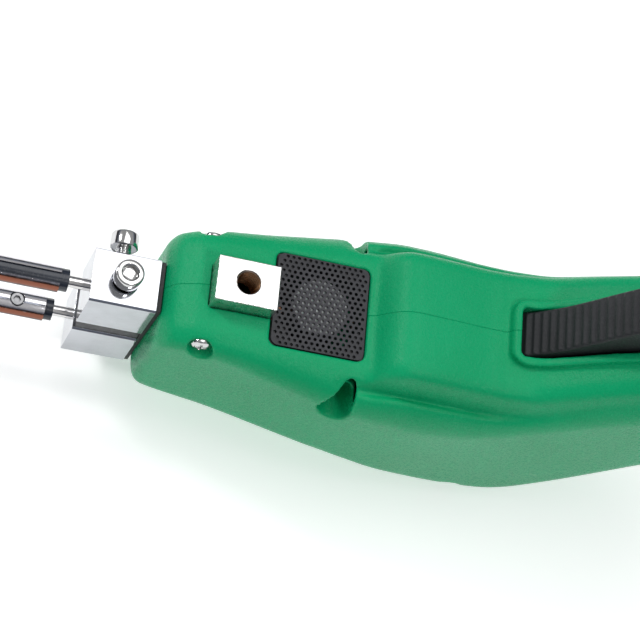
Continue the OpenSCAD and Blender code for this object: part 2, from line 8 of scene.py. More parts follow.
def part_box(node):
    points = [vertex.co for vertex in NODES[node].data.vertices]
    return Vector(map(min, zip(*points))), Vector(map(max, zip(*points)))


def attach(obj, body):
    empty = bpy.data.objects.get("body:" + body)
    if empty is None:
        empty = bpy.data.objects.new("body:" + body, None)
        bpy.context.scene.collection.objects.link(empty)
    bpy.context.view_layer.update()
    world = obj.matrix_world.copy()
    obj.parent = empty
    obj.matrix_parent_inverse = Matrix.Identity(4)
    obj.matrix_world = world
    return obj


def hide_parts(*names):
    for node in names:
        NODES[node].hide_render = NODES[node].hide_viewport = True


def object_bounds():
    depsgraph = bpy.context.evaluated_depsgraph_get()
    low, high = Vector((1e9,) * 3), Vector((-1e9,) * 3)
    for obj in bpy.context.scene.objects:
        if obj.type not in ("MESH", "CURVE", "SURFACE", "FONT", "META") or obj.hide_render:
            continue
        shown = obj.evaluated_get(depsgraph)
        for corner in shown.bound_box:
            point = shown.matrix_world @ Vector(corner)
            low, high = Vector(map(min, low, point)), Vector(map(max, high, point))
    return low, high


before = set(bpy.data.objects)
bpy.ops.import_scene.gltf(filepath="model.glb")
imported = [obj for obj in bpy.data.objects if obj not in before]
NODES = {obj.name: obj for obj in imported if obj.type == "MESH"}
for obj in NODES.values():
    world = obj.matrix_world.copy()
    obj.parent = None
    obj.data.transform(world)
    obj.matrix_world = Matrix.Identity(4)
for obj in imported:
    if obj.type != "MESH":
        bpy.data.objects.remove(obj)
CAD_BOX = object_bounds()
BODY = "tool_body"
MM = 0.001
OX, OZ = 35.1, 31.9           # origin of the row frame in the CAD source's build frame, mm


def P(x, y, z):
    """Build-frame millimetres to row-frame metres."""
    return Vector(((x - OX) / 1000, y / 1000, (z - OZ) / 1000))


TILT = math.radians(38)       # lean of the grip
GX, GZ = 122.8, 14.7          # where the grip frame starts, mm


def G(s, y, h):
    """Grip-frame millimetres to row-frame metres."""
    return P(GX + s * math.cos(TILT) - h * math.sin(TILT), y,
             GZ + s * math.sin(TILT) + h * math.cos(TILT))


# ---------------------------------------------------------------- node helpers
def new_mat(name):
    m = bpy.data.materials.new(name)
    m.use_nodes = True
    nt = m.node_tree
    for n in list(nt.nodes):
        nt.nodes.remove(n)
    out = nt.nodes.new("ShaderNodeOutputMaterial")
    b = nt.nodes.new("ShaderNodeBsdfPrincipled")
    nt.links.new(b.outputs[0], out.inputs[0])
    return m, nt, b


def coords(nt, scale=1.0):
    tc = nt.nodes.new("ShaderNodeTexCoord")
    mp = nt.nodes.new("ShaderNodeMapping")
    mp.inputs["Scale"].default_value = (scale,) * 3 if not hasattr(scale, "__len__") else scale
    nt.links.new(tc.outputs["Object"], mp.inputs["Vector"])
    return mp.outputs[0]


def noise(nt, vec, scale, detail=3.0, rough=0.5):
    n = nt.nodes.new("ShaderNodeTexNoise")
    n.inputs["Scale"].default_value = scale
    n.inputs["Detail"].default_value = detail
    n.inputs["Roughness"].default_value = rough
    nt.links.new(vec, n.inputs["Vector"])
    return n.outputs["Fac"]


def ramp(nt, fac, stops):
    r = nt.nodes.new("ShaderNodeValToRGB")
    el = r.color_ramp.elements
    el[0].position, el[0].color = stops[0][0], (*stops[0][1], 1)
    el[1].position, el[1].color = stops[1][0], (*stops[1][1], 1)
    for p, c in stops[2:]:
        e = el.new(p)
        e.color = (*c, 1)
    nt.links.new(fac, r.inputs[0])
    return r.outputs[0]


def vmap(nt, fac, lo, hi, a=0.0, b=1.0):
    m = nt.nodes.new("ShaderNodeMapRange")
    m.inputs["From Min"].default_value = a
    m.inputs["From Max"].default_value = b
    m.inputs["To Min"].default_value = lo
    m.inputs["To Max"].default_value = hi
    nt.links.new(fac, m.inputs["Value"])
    return m.outputs[0]


def bump(nt, b, height, strength, dist, prev=None):
    n = nt.nodes.new("ShaderNodeBump")
    n.inputs["Strength"].default_value = strength
    n.inputs["Distance"].default_value = dist
    nt.links.new(height, n.inputs["Height"])
    if prev is not None:
        nt.links.new(prev, n.inputs["Normal"])
    nt.links.new(n.outputs[0], b.inputs["Normal"])
    return n.outputs[0]


def mixc(nt, fac, a, b):
    m = nt.nodes.new("ShaderNodeMix")
    m.data_type = "RGBA"
    if isinstance(fac, float):
        m.inputs[0].default_value = fac
    else:
        nt.links.new(fac, m.inputs[0])
    for sock, v in ((m.inputs[6], a), (m.inputs[7], b)):
        if isinstance(v, tuple):
            sock.default_value = (*v, 1)
        else:
            nt.links.new(v, sock)
    return m.outputs[2]


def green_plastic():
    """Moulded green housing with a fine leather grain and paler flecks."""
    m, nt, b = new_mat("green_plastic")
    v = coords(nt)
    fine = noise(nt, v, 3000, 2, 0.6)
    grain = noise(nt, v, 1700, 3, 0.65)
    broad = noise(nt, v, 35, 3, 0.5)
    base = ramp(nt, broad, [(0.3, (0.0020, 0.310, 0.118)), (0.7, (0.0030, 0.340, 0.136))])
    fleck = ramp(nt, fine, [(0.60, (0, 0, 0)), (0.76, (1, 1, 1))])
    col = mixc(nt, fleck, base, (0.02, 0.40, 0.18))
    nt.links.new(col, b.inputs["Base Color"])
    nt.links.new(vmap(nt, grain, 0.16, 0.40), b.inputs["Roughness"])
    b.inputs["Specular IOR Level"].default_value = 0.14
    n1 = bump(nt, b, grain, 0.75, 0.00022)
    bump(nt, b, fine, 0.25, 0.00007, n1)
    return m


def metal(name, color, rough, var=0.08, scratch=1.0, dirty=None, stretch=(1, 14, 1)):
    """Brushed metal: blotchy colour and fine lines along one axis."""
    m, nt, b = new_mat(name)
    v = coords(nt)
    vs = coords(nt, stretch)
    broad = noise(nt, v, 90, 4, 0.6)
    fine = noise(nt, vs, 900, 4, 0.7)
    dark = tuple(c * 0.82 for c in color) if dirty is None else dirty
    nt.links.new(ramp(nt, broad, [(0.32, dark), (0.62, color)]), b.inputs["Base Color"])
    b.inputs["Metallic"].default_value = 1.0
    nt.links.new(vmap(nt, fine, rough, rough + var, 0.3, 0.75), b.inputs["Roughness"])
    bump(nt, b, fine, 0.10 * scratch, 0.00003)
    return m


def plastic(name, c1, c2, r1, r2, grain=900, bump_s=0.25, dist=0.0001, spec=0.5):
    """Grained plastic between two colours and two roughness values."""
    m, nt, b = new_mat(name)
    v = coords(nt)
    g = noise(nt, v, grain, 4, 0.65)
    broad = noise(nt, v, 60, 3, 0.5)
    nt.links.new(ramp(nt, broad, [(0.3, c1), (0.7, c2)]), b.inputs["Base Color"])
    nt.links.new(vmap(nt, g, r1, r2, 0.3, 0.7), b.inputs["Roughness"])
    b.inputs["Specular IOR Level"].default_value = spec
    bump(nt, b, g, bump_s, dist)
    return m


def tube_metal():
    """Bright tube with painted reflection bands, brown and black on its near side, set by which way the
    surface faces.
    """
    m, nt, b = new_mat("tube_painted_reflections")
    fine = noise(nt, coords(nt, (1, 9, 9)), 900, 4, 0.7)
    blot = noise(nt, coords(nt, (0.35, 1, 1)), 1300, 4, 0.7)
    tc = nt.nodes.new("ShaderNodeTexCoord")
    sep = nt.nodes.new("ShaderNodeSeparateXYZ")
    nt.links.new(tc.outputs["Normal"], sep.inputs[0])
    flip = nt.nodes.new("ShaderNodeMath")
    flip.operation = "MULTIPLY"
    flip.inputs[1].default_value = -1.0
    nt.links.new(sep.outputs["Y"], flip.inputs[0])
    ang = nt.nodes.new("ShaderNodeMath")
    ang.operation = "ARCTAN2"
    nt.links.new(flip.outputs[0], ang.inputs[0])
    nt.links.new(sep.outputs["Z"], ang.inputs[1])
    add = nt.nodes.new("ShaderNodeMath")
    add.operation = "MULTIPLY_ADD"
    nt.links.new(blot, add.inputs[0])
    add.inputs[1].default_value = 0.5
    nt.links.new(ang.outputs[0], add.inputs[2])
    a = vmap(nt, add.outputs[0], 0.0, 1.0, -math.pi, math.pi)
    # Painted reflections by the normal's angle around the tube: a pale highlight band, brown and black
    # bands, and blue-grey elsewhere.
    light, brown = (0.72, 0.71, 0.74), (0.22, 0.085, 0.055)
    dark, blue = (0.02, 0.016, 0.016), (0.55, 0.60, 0.68)
    bands = [(0.0, blue), (1.0, blue), (0.30, light), (0.655, light), (0.69, brown), (0.775, brown),
             (0.80, dark), (0.83, dark), (0.86, blue)]
    col = ramp(nt, a, bands)
    nt.links.new(col, b.inputs["Base Color"])
    b.inputs["Metallic"].default_value = 1.0
    nt.links.new(vmap(nt, fine, 0.10, 0.24, 0.3, 0.75), b.inputs["Roughness"])
    bump(nt, b, fine, 0.12, 0.00003)
    return m


def guide_metal():
    """Brushed nickel that turns brown inside the threaded hole."""
    m, nt, b = new_mat("guide_nickel")
    v = coords(nt)
    fine = noise(nt, coords(nt, (1, 10, 1)), 700, 4, 0.7)
    blot = noise(nt, v, 260, 4, 0.65)
    light = ramp(nt, blot, [(0.30, (0.50, 0.46, 0.42)), (0.50, (0.66, 0.66, 0.66))])
    sep = nt.nodes.new("ShaderNodeSeparateXYZ")
    tc = nt.nodes.new("ShaderNodeTexCoord")
    nt.links.new(tc.outputs["Object"], sep.inputs[0])
    flat = nt.nodes.new("ShaderNodeCombineXYZ")
    nt.links.new(sep.outputs["X"], flat.inputs["X"])
    nt.links.new(sep.outputs["Y"], flat.inputs["Y"])
    ln = nt.nodes.new("ShaderNodeVectorMath")
    ln.operation = "LENGTH"
    nt.links.new(flat.outputs[0], ln.inputs[0])
    inside = vmap(nt, ln.outputs["Value"], 1.0, 0.0, 0.0031, 0.0033)
    deep = vmap(nt, sep.outputs["Z"], 1.0, 0.0, -0.0006, -0.0001)
    mul = nt.nodes.new("ShaderNodeMath")
    mul.operation = "MULTIPLY"
    nt.links.new(inside, mul.inputs[0])
    nt.links.new(deep, mul.inputs[1])
    nt.links.new(mixc(nt, mul.outputs[0], light, (0.30, 0.17, 0.09)), b.inputs["Base Color"])
    b.inputs["Metallic"].default_value = 1.0
    nt.links.new(vmap(nt, fine, 0.22, 0.38, 0.3, 0.75), b.inputs["Roughness"])
    bump(nt, b, fine, 0.15, 0.00003)
    return m


def blade_metal():
    """Resistance strip with straw to blue heat tint toward the tip."""
    m, nt, b = new_mat("blade_steel")
    tc = nt.nodes.new("ShaderNodeTexCoord")
    sep = nt.nodes.new("ShaderNodeSeparateXYZ")
    nt.links.new(tc.outputs["Object"], sep.inputs[0])
    wob = noise(nt, coords(nt), 160, 4, 0.6)
    add = nt.nodes.new("ShaderNodeMath")
    add.operation = "MULTIPLY_ADD"
    nt.links.new(wob, add.inputs[0])
    add.inputs[1].default_value = 0.012
    nt.links.new(sep.outputs["X"], add.inputs[2])
    a = vmap(nt, add.outputs[0], 0.0, 1.0, -0.118, -0.060)
    tint = [(0.0, (0.10, 0.10, 0.12)), (1.0, (0.62, 0.61, 0.60)), (0.25, (0.13, 0.15, 0.26)),
            (0.42, (0.24, 0.12, 0.22)), (0.56, (0.50, 0.32, 0.13)), (0.72, (0.62, 0.55, 0.42))]
    nt.links.new(ramp(nt, a, tint), b.inputs["Base Color"])
    b.inputs["Metallic"].default_value = 1.0
    fine = noise(nt, coords(nt, (1, 12, 12)), 800, 4, 0.7)
    nt.links.new(vmap(nt, fine, 0.24, 0.45, 0.3, 0.75), b.inputs["Roughness"])
    bump(nt, b, fine, 0.2, 0.00004)
    return m


MAT = {
    "green": green_plastic(),
    "screw": metal("screw_steel", (0.62, 0.62, 0.62), 0.07, 0.08, 0.8),
    "hub": plastic("hub_label", (0.80, 0.84, 0.84), (0.90, 0.93, 0.93), 0.35, 0.5, 400, 0.1),
    "blade": blade_metal(),
    "nickel": metal("bright_nickel", (0.55, 0.56, 0.60), 0.05, 0.07, 1.0),
    "guide": guide_metal(),
    "steel": metal("polished_steel", (0.66, 0.65, 0.65), 0.08, 0.08, 1.0),
    "tube": tube_metal(),
    "darksteel": metal("dark_steel", (0.33, 0.33, 0.34), 0.28, 0.15, 1.5),
    "copper": metal("bare_copper", (0.80, 0.42, 0.26), 0.20, 0.15, 1.5, dirty=(0.55, 0.25, 0.13)),
    "brass": metal("brass_tabs", (0.80, 0.62, 0.30), 0.20, 0.12, 1.0),
    "core": metal("core_steel", (0.28, 0.28, 0.29), 0.40, 0.20, 3.0, stretch=(1, 40, 1)),
    "coil": metal("coil_wire", (0.60, 0.26, 0.10), 0.25, 0.15, 3.0, stretch=(60, 1, 1)),
    "seal": plastic("seal_rubber", (0.012, 0.012, 0.013), (0.022, 0.022, 0.024), 0.55, 0.75),
    "insulator": plastic("insulator", (0.020, 0.020, 0.024), (0.05, 0.05, 0.055), 0.35, 0.55),
    "sleeve": plastic("dark_sleeve", (0.010, 0.014, 0.024), (0.020, 0.026, 0.040), 0.16, 0.30, 500, 0.12),
    "black": plastic("black_plastic", (0.012, 0.012, 0.013), (0.020, 0.020, 0.022), 0.35, 0.50),
    "trigger": plastic("trigger_plastic", (0.011, 0.012, 0.014), (0.020, 0.022, 0.025), 0.42, 0.66,
                       grain=1700, bump_s=0.7, dist=0.0002, spec=0.30),
    "screen": plastic("screen_metal", (0.016, 0.016, 0.020), (0.030, 0.031, 0.038), 0.28, 0.42,
                      grain=700, bump_s=0.2, spec=0.28),
    "red": plastic("plunger_plastic", (0.40, 0.03, 0.02), (0.46, 0.05, 0.03), 0.35, 0.5),
    "board": plastic("board", (0.01, 0.12, 0.04), (0.02, 0.18, 0.06), 0.18, 0.30, 300, 0.1),
    "ivory": plastic("terminal_plastic", (0.60, 0.57, 0.48), (0.68, 0.65, 0.56), 0.35, 0.5),
}
def finish_cad(name, material, width):
    """Material and soft edges on a CAD node that stays."""
    o = NODES[name]
    o.data.materials.clear()
    o.data.materials.append(material)
    add_mod(o, "WELD", merge_threshold=1e-6)
    add_mod(o, "DECIMATE", decimate_type="DISSOLVE", angle_limit=math.radians(0.5))
    edge = bevel(o, width * MM, 3, 32)
    edge.use_clamp_overlap = True
    edge.harden_normals = False
    add_mod(o, "WEIGHTED_NORMAL", keep_sharp=True)
    for p in o.data.polygons:
        p.use_smooth = True
    return o


# ---------------------------------------------------------------- mesh helpers
def link(name, me, material=None, smooth=True):
    o = bpy.data.objects.new(name, me)
    bpy.context.scene.collection.objects.link(o)
    if material is not None:
        me.materials.append(material)
    if smooth:
        me.shade_smooth()
    return o


def mesh_of(name, verts, faces):
    me = bpy.data.meshes.new(name)
    me.from_pydata([tuple(v) for v in verts], [], faces)
    me.validate()
    bm = bmesh.new()
    bm.from_mesh(me)
    bmesh.ops.recalc_face_normals(bm, faces=bm.faces)
    bm.to_mesh(me)
    bm.free()
    return me


def tube_mesh(name, rings):
    """Closed skin over rings that all have the same number of points."""
    n = len(rings[0])
    verts = [p for r in rings for p in r]
    faces = []
    for i in range(len(rings) - 1):
        a, b = i * n, (i + 1) * n
        for k in range(n):
            m = (k + 1) % n
            faces.append((a + k, a + m, b + m, b + k))
    faces.append(tuple(range(n - 1, -1, -1)))
    faces.append(tuple((len(rings) - 1) * n + k for k in range(n)))
    return mesh_of(name, verts, faces)


def prism(name, outline, low, high, place):
    """Prism over a 2-D outline from low to high; place(u, v, w) gives the point."""
    rings = [[place(u, v, w) for u, v in outline] for w in (low, high)]
    return link(name, tube_mesh(name, rings), None, False)


def round_rect(cx, cy, w, h, r, n=8):
    pts = []
    for sx, sy, a0 in ((1, 1, 0), (-1, 1, 90), (-1, -1, 180), (1, -1, 270)):
        for i in range(n + 1):
            a = math.radians(a0 + 90 * i / n)
            pts.append((cx + sx * (w / 2 - r) + r * math.cos(a),
                        cy + sy * (h / 2 - r) + r * math.sin(a)))
    return pts


def circle(cx, cy, r, n=48):
    turns = [2 * math.pi * i / n for i in range(n)]
    return [(cx + r * math.cos(a), cy + r * math.sin(a)) for a in turns]


def apply_mods(o):
    dg = bpy.context.evaluated_depsgraph_get()
    me = bpy.data.meshes.new_from_object(o.evaluated_get(dg))
    old = o.data
    o.modifiers.clear()
    o.data = me
    bpy.data.meshes.remove(old)


def boolean(o, tool, op):
    """Cuts or joins with a tool object, which is used up."""
    m = o.modifiers.new("bool", "BOOLEAN")
    m.operation, m.solver, m.object = op, "MANIFOLD", tool
    bpy.context.view_layer.update()
    apply_mods(o)
    bpy.data.objects.remove(tool)
    return o


def add_mod(o, kind, **values):
    m = o.modifiers.new(kind.lower(), kind)
    for k, v in values.items():
        setattr(m, k, v)
    return m


def bevel(o, width, segments, degrees):
    """Bevels the edges that turn by more than an angle; the width is in the mesh's own unit."""
    return add_mod(o, "BEVEL", width=width, segments=segments, limit_method="ANGLE",
                   angle_limit=math.radians(degrees))


# ---------------------------------------------------------------- housing
# x, z, tilt, half width, up, down, upper radius, lower radius, band height
STATIONS = [
    (17.6, 0, 0, 13.6, 18.2, 16, 5, 8, 12),
    (20, 0, 0, 15, 22.4, 18, 5, 9, 15),
    (26.6, 0, 0, 16.1, 26.3, 18, 6, 9, 19),
    (37, 0, 0, 17.4, 26.4, 18, 6.6, 9, 20),
    (66, 0, 0, 23.2, 26.4, 18.3, 10, 9, 20),
    (68, 0, 0, 23.4, 26.4, 18.3, 10, 9, 25.4),
    (72.4, 0, 0, 23.8, 28.4, 19.5, 12, 9, 32.8),
    (76, 0, 0, 24, 29.4, 20.5, 12.5, 9, 34.8),
    (86, 0, 0, 24.4, 30, 24.6, 14.5, 10, 34.3),
    (100, 1, 4, 23.4, 29.4, 31, 14.5, 11, 32.5),
    (111.4, 5.7, 20, 22.4, 27, 38.9, 13.5, 11, 29.6),
    (122.8, 14.7, 32, 20.8, 22.5, 34.5, 11, 11, 24.3),
    (137.6, 26.2, 38, 19.8, 22.6, 27, 11, 11, 25.0),
    (165, 47.6, 38, 18.5, 22, 21, 11, 11, 23.8),
    (189.8, 67, 38, 17, 19.5, 18.5, 10, 10, 20.4),
]
BAND = 17.3                   # half width of the raised band, mm
VALLEY_DEEP = 2.7             # depth of the groove beside the band
VALLEY_OFF = 1.2              # from the band's edge to the groove's middle
VALLEY_WIDE = 1.3             # spread of the groove
BLEND = 2.2                   # softness of the band's foot
NOSE_ROUND, TAIL_ROUND = 1.6, 4.0
WALL = 2.4
VOXEL = 0.42 * MM             # grid that rounds every cut edge of the housing
SPLIT = 0.045                 # half the parting line's gap, mm


def smooth_stations(step=0.6, sigma=3.2):
    """Even stations along the body with the corners between them eased."""
    s = np.array(STATIONS, float)
    length = np.concatenate([[0], np.cumsum(np.hypot(np.diff(s[:, 0]), np.diff(s[:, 1])))])
    u = np.arange(0, length[-1] + 1e-6, step / 2)
    fine = np.stack([np.interp(u, length, s[:, k]) for k in range(s.shape[1])], 1)
    end = np.minimum(u, length[-1] - u)
    sig = np.clip(0.32 * end, 0.15, sigma)
    sig = np.where((fine[:, 0] > 60) & (fine[:, 0] < 84), 1.7, sig)
    w = np.exp(-0.5 * ((u[:, None] - u[None, :]) / sig[:, None]) ** 2)
    out = (w / w.sum(1, keepdims=True)) @ fine
    out[0], out[-1] = fine[0], fine[-1]
    return u, out


def ring_points(W, up, dn, ru, rl, inset=0.0):
    """Rounded section as (y, h) points with the same count everywhere."""
    W, up, dn = W - inset, up - inset, dn - inset
    ru, rl = max(ru - inset, 1.5), max(rl - inset, 1.5)
    ru = min(ru, W - 0.5)
    pts = []
    for t in np.linspace(-1, 1, 44)[:-1]:
        pts.append(((W - ru) * -t, up))
    for i in range(36):
        a = math.radians(90 + 90 * i / 36)
        pts.append((-(W - ru) + ru * math.cos(a), up - ru + ru * math.sin(a)))
    for t in np.linspace(0, 1, 13)[:-1]:
        pts.append((-W, (up - ru) * (1 - t) + (rl - dn) * t))
    for i in range(16):
        a = math.radians(180 + 90 * i / 16)
        pts.append((-(W - rl) + rl * math.cos(a), rl - dn + rl * math.sin(a)))
    for t in np.linspace(-1, 1, 22)[:-1]:
        pts.append(((W - rl) * t, -dn))
    for i in range(16):
        a = math.radians(270 + 90 * i / 16)
        pts.append(((W - rl) + rl * math.cos(a), rl - dn + rl * math.sin(a)))
    for t in np.linspace(0, 1, 13)[:-1]:
        pts.append((W, (rl - dn) * (1 - t) + (up - ru) * t))
    for i in range(36):
        a = math.radians(90 * i / 36)
        pts.append(((W - ru) + ru * math.cos(a), up - ru + ru * math.sin(a)))
    return pts


def band_top(y, height, half, rc=4.5):
    """Height of the raised band at y, with rounded shoulders that drop away steeply."""
    a = abs(y) - (half - rc)
    if a <= 0:
        return height - 0.25 * (y / half) ** 2
    base = height - 0.25 * (y / half) ** 2
    if a < 0.97 * rc:
        return base - (rc - math.sqrt(rc * rc - a * a)) * 0.8
    edge = (rc - math.sqrt(rc * rc - (0.97 * rc) ** 2)) * 0.8
    return base - edge - (a - 0.97 * rc) * 4.0


def body_mesh(name, inset=0.0, trim=0.0):
    """Lofted skin of the body; an inset one is the hollow and leaves the band and end rounding out."""
    u, st = smooth_stations()
    rings = []
    total = u[-1]
    for ui, row in zip(u, st):
        if ui < trim or ui > total - trim:
            continue
        x, z, tilt, W, up, dn, ru, rl, bh = row
        end = 0.0
        if inset == 0:
            tip, tail = ui, total - ui
            if tip < NOSE_ROUND:
                end = NOSE_ROUND - math.sqrt(max(0.0, NOSE_ROUND ** 2 - (NOSE_ROUND - tip) ** 2))
            if tail < TAIL_ROUND:
                end = TAIL_ROUND - math.sqrt(max(0.0, TAIL_ROUND ** 2 - (TAIL_ROUND - tail) ** 2))
        half = BAND - 4 * max(0.0, x - 120) / 70
        valley = VALLEY_DEEP * min(1, max(0.0, (x - 60) / 12)) * min(1, max(0.0, (134 - x) / 30))
        T = math.radians(tilt)
        ring = []
        for y, h in ring_points(W, up, dn, ru, rl, inset + end):
            if inset == 0 and h > 0:
                t = band_top(y, bh - end, half)
                top = (h + t + math.sqrt((h - t) ** 2 + BLEND)) / 2 if t > h - 6 else h
                groove = valley * math.exp(-((abs(y) - half - VALLEY_OFF) / VALLEY_WIDE) ** 2)
                h = max(h, top) - groove
            ring.append(P(x - h * math.sin(T), y, z + h * math.cos(T)))
        rings.append(ring)
    return tube_mesh(name, rings)


# x or s, z or h, diameter, distance of the screw's seat from the middle plane
RECESSES = [(27.4, 21.8, 6.2, 13.6), (63.3, 16.2, 7.8, 13.6), (46, -15.4, 6.2, 9.4), (110, -24.5, 6.4, 13.6)]
GRIP_RECESSES = [(74, 11.5, 6.4, 13.6), (72, -11.5, 6.4, 13.6)]


def recess_centres():
    out = [(P(x, 0, z), d, seat) for x, z, d, seat in RECESSES]
    return out + [(G(s, 0, h), d, seat) for s, h, d, seat in GRIP_RECESSES]


def y_cylinder(name, c, d, y0, y1, n=64):
    return prism(name, circle(c.x, c.z, d / 2000, n), y0 / 1000, y1 / 1000, in_metres)


def along_y(a, b, w):
    """Places an outline drawn in build x and z, run out along y."""
    return P(a, w, b)


def along_z(a, b, w):
    """Places an outline drawn in build x and y, run up along z."""
    return P(a, b, w)


def in_metres(a, b, w):
    """Places an outline drawn in row x and z, in metres, along y."""
    return Vector((a, w, b))


def as_drawn(a, b, w):
    return Vector((a, b, w))


def drawn_mm(a, b, w):
    return Vector((a, b, w)) * MM


def cut(o, tool):
    return boolean(o, tool, "DIFFERENCE")


def housing():
    """Both moulded halves: skin, lip, hollow, openings, recesses, then rounded and split."""
    body = link("body", body_mesh("body"), None, False)
    # trigger lip: side profile crossed with a rounded plan
    side = [(101.4, 20), (101.4, 34.4), (101.7, 35.6), (102.4, 36.5), (103.4, 36.9), (105, 36.95),
            (107, 37.1), (109, 37.9), (111, 39.2), (114, 41.9), (116.8, 44.5), (122, 49.4)]
    grip = [(60, 26.4), (62, 26.0), (63.6, 24.6), (63.8, 14), (0, 12)]
    prof = [P(x, 0, z) for x, z in side] + [G(s, 0, h) for s, h in grip]
    lip_half = 8.6
    lip = prism("lip", [(p.x, p.z) for p in prof], -lip_half / 1000, lip_half / 1000, in_metres)
    plan = prism("plan", round_rect(141.4, 0, 80, 2 * lip_half, 4.4, 12), 15, 90, along_z)
    boolean(lip, plan, "INTERSECT")
    bevel(lip, 0.9 * MM, 3, 40)
    apply_mods(lip)
    boolean(body, lip, "UNION")
    # hollow with the screw bosses left standing
    hollow = link("hollow", body_mesh("hollow", WALL, 2.6), None, False)
    cup_wall = 1.2
    for c, d, seat in recess_centres():
        cut(hollow, y_cylinder("boss", c, 5.2, -30, 30))
        for sgn in (-1, 1):
            cut(hollow, y_cylinder("cup", c, d + 2 * cup_wall, *sorted((sgn * (seat - cup_wall), sgn * 30))))
    cut(body, hollow)
    # vent pocket, fan pocket, guide pocket, nose hole
    cut(body, prism("vent", round_rect(54.95, 0, 24.3, 24.6, 2.2), 25.7, 60, along_z))
    cut(body, prism("fan", round_rect(55, 0, 24.2, 24.2, 0.5), 19.4, 26, along_z))
    cut(body, prism("guide", round_rect(35.1, 0, 15.5, 11.4, 0.3), 23.7, 60, along_z))
    cut(body, prism("nose", round_rect(17, 0, 12, 9, 0.6), -13.4, 13.4, along_z))
    # trigger opening
    half = 6.35
    cut(body, prism("room", round_rect(109, 0, 10.4, 2 * half, 1.2), 22, 70, along_z))
    grip_room = [(0.0, 8.0), (61.4, 8.0), (61.4, 52.0), (0.0, 52.0)]
    cut(body, prism("room2", grip_room, -half, half, lambda a, b, w: G(a, w, b)))
    # recesses
    for c, d, seat in recess_centres():
        for sgn in (-1, 1):
            cut(body, y_cylinder("recess", c, d, *sorted((sgn * seat, sgn * 40))))
        cut(body, y_cylinder("bore", c, 3.1, -20, 20, 32))
    # arched notch above the second recess, open to the top
    ax, az, ar = 63.3, 16.2, 3.9
    arch = [(ax + ar * math.cos(a), az + ar * math.sin(a)) for a in np.linspace(math.pi, 2 * math.pi, 20)]
    arch += [(67.2, 19.5), (67.0, 22.0), (66.5, 23.8), (65.7, 25.0), (64.8, 25.4), (63.9, 25.1),
             (62.6, 23.6), (61.0, 21.2), (59.8, 18.6)]
    for sgn in (-1, 1):
        cut(body, prism("arch", arch, *sorted((sgn * 15.8, sgn * 40)), along_y))
    cut(body, prism("inlet", circle(0, 0, 6), 73, 110, lambda a, b, w: G(w, a, b)))
    add_mod(body, "REMESH", mode="VOXEL", voxel_size=VOXEL, adaptivity=0.0)
    add_mod(body, "SMOOTH", factor=0.5, iterations=5)
    apply_mods(body)
    for name, sgn in (("housing_far_half", 1), ("housing_near_half", -1)):
        o = link(name, body.data.copy(), None, False)
        side_box = [(0, -90), (240, -90), (240, 120), (0, 120)]
        boolean(o, prism("keep", side_box, *sorted((sgn * SPLIT, sgn * 60)), along_y), "INTERSECT")
        o.data.materials.clear()
        o.data.materials.append(MAT["green"])
        o.data.shade_smooth()
        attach(o, BODY)
    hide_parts("housing_left")
    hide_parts("housing_right")
    bpy.data.objects.remove(body)


housing()


# ---------------------------------------------------------------- turned and threaded parts
def lathe(name, profile, seg=64):
    """Solid of revolution about Z over (radius, z) points that start and end on the axis."""
    rings = []
    for r, z in profile:
        r = max(r, 1e-6)
        rings.append([(x, y, z) for x, y in circle(0, 0, r, seg)])
    return tube_mesh(name, rings)


def thread(name, r_out, r_in, pitch, z0, z1, seg=40):
    """Rod about Z with a helical thread that runs out at both ends."""
    steps = max(8, int((z1 - z0) / pitch * 9))
    rings = []
    for i in range(steps + 1):
        z = z0 + (z1 - z0) * i / steps
        fade = max(0.0, min(1.0, (z - z0) / pitch * 1.5, (z1 - z) / pitch * 1.5))
        ring = []
        for k in range(seg):
            a = 2 * math.pi * k / seg
            ph = (z / pitch - k / seg) % 1.0
            tri = min(1.0, max(0.0, (1 - abs(2 * ph - 1) - 0.12) / 0.76))
            r = r_in + (r_out - r_in) * tri * fade
            ring.append((r * math.cos(a), r * math.sin(a), z))
        rings.append(ring)
    return tube_mesh(name, rings)


def joined(name, meshes, material):
    bm = bmesh.new()
    for me in meshes:
        bm.from_mesh(me)
        bpy.data.meshes.remove(me)
    out = bpy.data.meshes.new(name)
    bm.to_mesh(out)
    bm.free()
    return link(name, out, material)


def soften(o, width, seg):
    """Rounds the sharp edges of a piece."""
    bevel(o, width, seg, 35)
    add_mod(o, "WEIGHTED_NORMAL", keep_sharp=True)
    o.data.shade_smooth()
    return o


def moved(me, matrix):
    me.transform(matrix)
    return me


def frame_at(point, z_axis, x_axis=(1, 0, 0)):
    z = Vector(z_axis).normalized()
    x = Vector(x_axis)
    x = (x - z * x.dot(z)).normalized()
    y = z.cross(x)
    m = Matrix((x, y, z)).transposed().to_4x4()
    return Matrix.Translation(point) @ m @ Matrix.Scale(MM, 4)


def cap_screw_meshes(shank):
    """Head with a hexagon socket and a threaded shank, in mm, as two meshes."""
    profile = [(0, 0), (3.2, 0), (3.5, 0.25), (3.5, 3.4), (3.42, 3.68), (3.26, 3.9), (3.0, 4.0),
               (2.3, 4.0), (1.9, 4.0), (0, 4.0)]
    o = link("head", lathe("head", profile), None)
    socket_r = 3.6 / math.sqrt(3)
    turns = [math.radians(60 * k + 12) for k in range(6)]
    hexa = [(socket_r * math.cos(a), socket_r * math.sin(a)) for a in turns]
    cut(o, prism("hex", hexa, 1.9, 5, as_drawn))
    cut(o, link("cone", lathe("cone", [(0, 3.55), (1.75, 3.55), (2.35, 4.1), (0, 4.1)], 48), None))
    bevel(o, 0.09, 2, 35)
    apply_mods(o)
    head = o.data
    bpy.data.objects.remove(o)
    rod = thread("shank", 1.98, 1.66, 0.7, -shank, 0.05)
    return [head, rod]


def put(o, body, slot_name, *nodes):
    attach(o, body)
    if nodes:
        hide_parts(*nodes)
    return o


